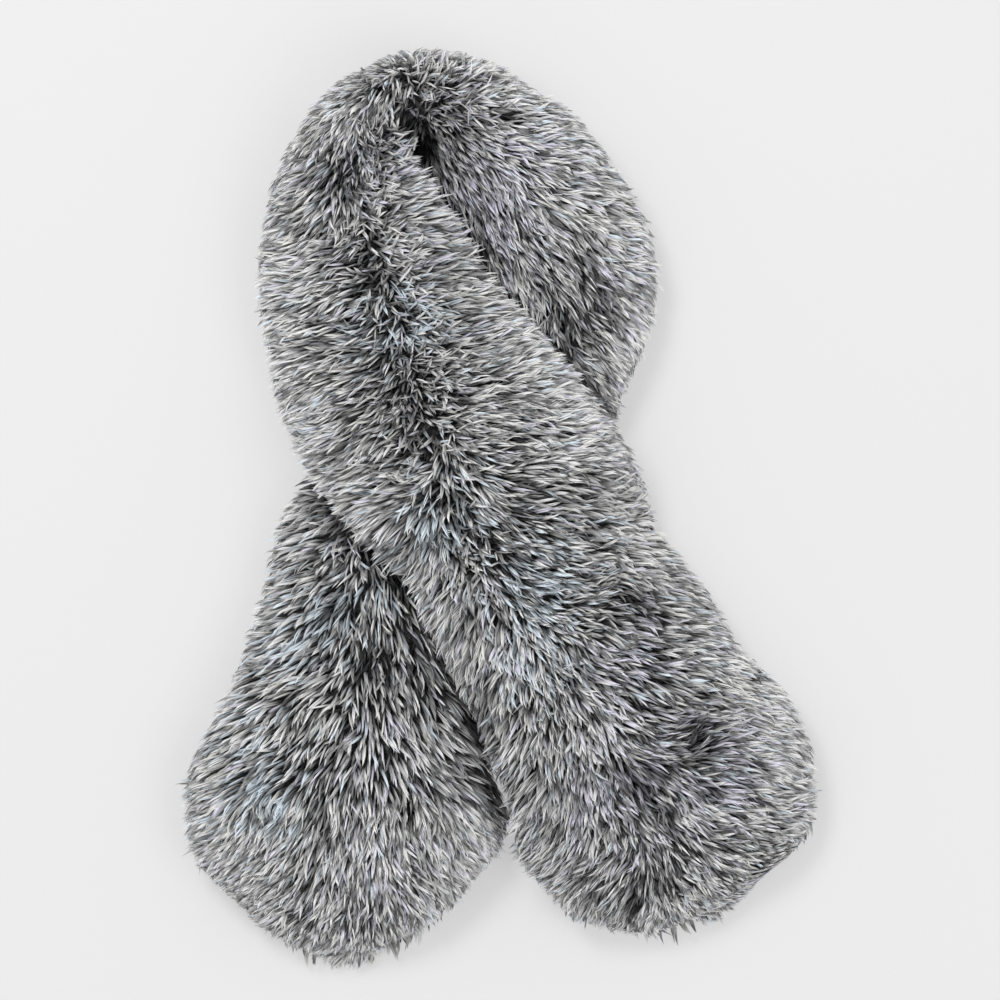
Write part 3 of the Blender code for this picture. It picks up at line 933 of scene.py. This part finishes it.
def ribbons(lines, normal, width):
    """(hairs, POINTS_A_HAIR, 3) points of the hairs' tapered ribbons: pairs, and then the tip."""
    count = len(lines)
    aim = unit(lines[:, -1] - lines[:, 0])
    flat = turned(unit(np.cross(aim, normal)), aim, rng.normal(0, ROLL, count))
    wide = width * rng.uniform(*WIDTH_RANGE, count)
    points = np.empty((count, POINTS_A_HAIR, 3))
    for k, share in enumerate(WIDTHS):
        half = flat * (wide * share / 2)[:, None]
        points[:, 2 * k], points[:, 2 * k + 1] = lines[:, k] - half, lines[:, k] + half
    points[:, -1] = lines[:, -1]
    points[..., 2] = np.maximum(points[..., 2], LEAST_EDGE_HEIGHT)
    return points


def hair_mesh(piece, points, palette_u):
    """One joined mesh of ribbons: two quads and a tip each."""
    count = len(points)
    each = np.arange(count)[:, None]
    corners = np.concatenate(RIBBON)
    face_starts = np.cumsum([0] + [len(face) for face in RIBBON[:-1]])
    loops = (each * POINTS_A_HAIR + corners).ravel()
    starts = (each * len(corners) + face_starts).ravel()
    mesh = bpy.data.meshes.new(piece)
    mesh.vertices.add(count * POINTS_A_HAIR)
    mesh.vertices.foreach_set("co", (points * MM).astype(np.float32).ravel())
    mesh.loops.add(len(loops))
    mesh.loops.foreach_set("vertex_index", loops.astype(np.int32))
    mesh.polygons.add(len(starts))
    mesh.polygons.foreach_set("loop_start", starts.astype(np.int32))
    mesh.update(calc_edges=True)
    side = np.array([-1, 1, -1, 1, -1, 1, 0]) * PALETTE_WIDTH / (GROUPS * TONES)
    level = np.array(STEPS)[[0, 0, 1, 1, 2, 2, 3]] * (1 - 2 * PALETTE_MARGIN) + PALETTE_MARGIN
    u, v = np.broadcast_arrays(palette_u[:, None] + side, level)
    uv = np.stack([u, v], 2).reshape(-1, 2)[loops]
    for name in (PALETTE, "OFBake"):
        mesh.uv_layers.new(name=name).data.foreach_set("uv", uv.astype(np.float32).ravel())
    mesh.polygons.foreach_set("use_smooth", np.ones(len(starts), bool))
    mesh.materials.append(HAIR)
    mesh.update()
    return link(bpy.data.objects.new(piece, mesh))


def hairs(piece, stretch, face, from_row, to_row, count, length, width):
    """The guard hairs of one row of the table of pieces."""
    locks = count // HAIRS_A_LOCK
    lock = lock_places(stretch, face, from_row, to_row, locks)
    x, y, _ = lock["reach"].T
    lock["flow"], lift = lay(stretch, face, lock)
    lock["high"] = np.clip(rng.random(locks) + HIGH_UNEVEN * waves(x, y, "small"), 0, 1)
    side = np.clip(1 - lock["normal"][:, 2], 0, 1)
    shorter = (1 - LIFTED_SHORTER * lift) * (1 - SIDE_SHORTER * side) * trim_at(x, y)
    lock["lean"] = length * rng.normal(1.0, LEAN_UNEVEN, locks) * shorter
    lock["bend"], lock["curl"] = rng.normal(0, BEND, locks), rng.normal(0, CURL, locks)
    lock["tone"], lock["group"] = tones(stretch, face, lock)

    hair = {name: np.repeat(values, HAIRS_A_LOCK, 0) for name, values in lock.items()}
    points = ribbons(hair_lines(face, hair), hair["normal"], width)
    tone = hair["tone"] + HAIR_UNEVEN * rng.normal(0, 1, len(points))
    step = np.floor(np.clip(tone, LEAST_TONE, MOST_TONE) * TONES)
    return hair_mesh(piece, points, (hair["group"] + (step + 0.5) / TONES) / GROUPS)


# ---- Building ----

# The cut cloth of each stretch, in metres: both panels' width side by side, their length, their area.
CUT_COLUMNS = ("stretch", "width", "length", "area")
CUTS = (
    ("over", 0.215, 0.47, 0.101),
    ("neck", 0.130, 0.24, 0.031),
    ("under", 0.205, 0.36, 0.068),
)
PANELS, LAYERS = ("face", "back"), ("pile", "backing")

pile = {stretch: [] for stretch in STRETCHES}
for row in named(HAIR_COLUMNS, HAIRS):
    made = hairs(**row)
    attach(made, "root")
    pile[row["stretch"]].append(made)

for cut in named(CUT_COLUMNS, CUTS):
    stretch = cut["stretch"]
    made = skin(stretch)
    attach(made, "root")
    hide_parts(*(f"{stretch}_{panel}_{layer}" for panel in PANELS for layer in LAYERS))


# ---- Stage, in metres ----

FLOOR_REACH = 6.0
FLOOR_COLOUR, FLOOR_ROUGHNESS = (0.45, 0.45, 0.45), 0.95
FLOOR_GLOW = 0.40  # keeps the floor pale where the wrap shades it
WORLD = 0.62
WHITE = (1.0, 1.0, 1.0, 1.0)
LIGHT_COLUMNS = ("name", "place", "size", "power")
LIGHTS = (
    ("key", (-0.9, 1.3, 2.2), 1.0, 26.0),
    ("fill", (1.4, -0.8, 2.0), 1.6, 9.0),
)
CAMERA_PLACE = (-0.0005, 0.0006, 2.6)
FRAME_WIDTH = 0.520  # of the picture, at the height of the hairs' outline
OUTLINE_HEIGHT = 0.018
SENSOR_WIDTH = 36.0  # in millimetres
CLIP_END = 20.0


def ground():
    """The pale surface that the wrap rests on."""
    reach = FLOOR_REACH
    corners = [(-reach, -reach, 0), (reach, -reach, 0), (reach, reach, 0), (-reach, reach, 0)]
    mesh = bpy.data.meshes.new("floor")
    mesh.from_pydata(corners, [], [(0, 1, 2, 3)])
    made, _, _, shader = new_material("floor", FLOOR_COLOUR, FLOOR_ROUGHNESS)
    shader.inputs["Emission Color"].default_value = WHITE
    shader.inputs["Emission Strength"].default_value = FLOOR_GLOW
    mesh.materials.append(made)
    link(bpy.data.objects.new("floor", mesh))


def lights():
    """An even white studio, with a soft key light from the upper left."""
    world = bpy.data.worlds.new("studio")
    bpy.context.scene.world = world
    world.use_nodes = True
    background = world.node_tree.nodes["Background"]
    background.inputs["Color"].default_value = WHITE
    background.inputs["Strength"].default_value = WORLD
    for row in named(LIGHT_COLUMNS, LIGHTS):
        lamp = bpy.data.lights.new(row["name"], "AREA")
        lamp.shape, lamp.size, lamp.energy = "DISK", row["size"], row["power"]
        light = link(bpy.data.objects.new(row["name"], lamp))
        light.location = row["place"]
        light.rotation_euler = (-Vector(row["place"])).to_track_quat("-Z", "Y").to_euler()


def camera():
    """Straight above the wrap, as far as the picture's width asks for."""
    lens = bpy.data.cameras.new("camera")
    lens.sensor_width = SENSOR_WIDTH
    lens.lens = SENSOR_WIDTH * (CAMERA_PLACE[2] - OUTLINE_HEIGHT) / FRAME_WIDTH
    lens.clip_end = CLIP_END
    made = link(bpy.data.objects.new("camera", lens))
    made.location = CAMERA_PLACE
    bpy.context.scene.camera = made


ground()
lights()
camera()
bpy.context.scene.view_settings.view_transform = "Standard"
